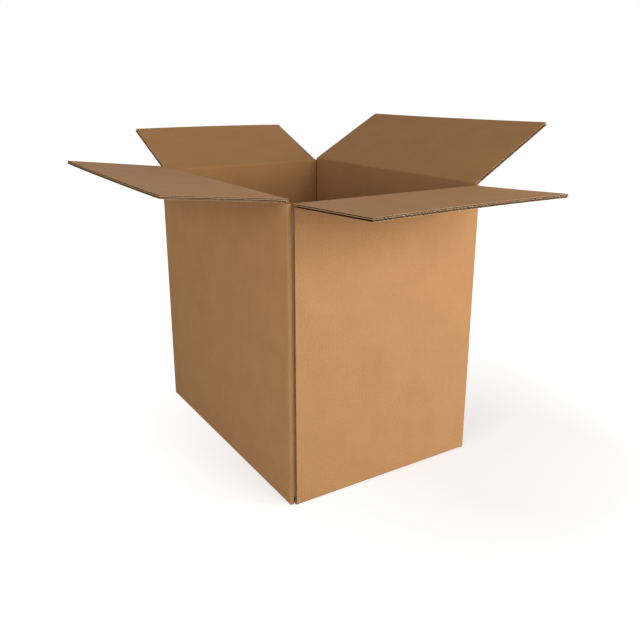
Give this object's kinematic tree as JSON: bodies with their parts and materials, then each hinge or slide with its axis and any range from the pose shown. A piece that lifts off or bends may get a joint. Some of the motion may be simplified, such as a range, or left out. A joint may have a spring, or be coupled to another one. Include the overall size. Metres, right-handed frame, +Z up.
{
  "type": "cardboard box",
  "caption": "Tall rectangular slotted carton of brown double-wall corrugated board, open at the top, with hinged top flaps that lean outwards and a closed, glued bottom.",
  "frame": {"origin": "middle of the carton's base, on the surface it stands on", "axes": "+Z up out of the open mouth, +Y along the long side away from the front wall, +X along the short side to the right of the front wall"},
  "size_m": [0.8569, 1.047, 0.7087],
  "materials": {
    "kraft_board": "matte brown kraft liner over double-wall corrugated board"
  },
  "bodies": {
    "carton": {"carton_body": "kraft_board"},
    "front": {"front_flap": "kraft_board"},
    "right": {"right_flap": "kraft_board"},
    "back": {"back_flap": "kraft_board"},
    "left": {"left_flap": "kraft_board"}
  },
  "joints": [
    {"name": "front_hinge", "type": "hinge", "parent": "carton", "child": "front", "pos_m": [0, -0.31, 0.5827], "axis": [1, 0, 0], "range_deg": [-177.3, 87.7]},
    {"name": "right_hinge", "type": "hinge", "parent": "carton", "child": "right", "pos_m": [0.2225, 0, 0.59], "axis": [0, 1, 0], "range_deg": [-149.5, 115.5]},
    {"name": "back_hinge", "type": "hinge", "parent": "carton", "child": "back", "pos_m": [0, 0.31, 0.5827], "axis": [-1, 0, 0], "range_deg": [-157.6, 107.4]},
    {"name": "left_hinge", "type": "hinge", "parent": "carton", "child": "left", "pos_m": [-0.2225, 0, 0.59], "axis": [0, -1, 0], "range_deg": [-173.5, 91.5]}
  ]
}
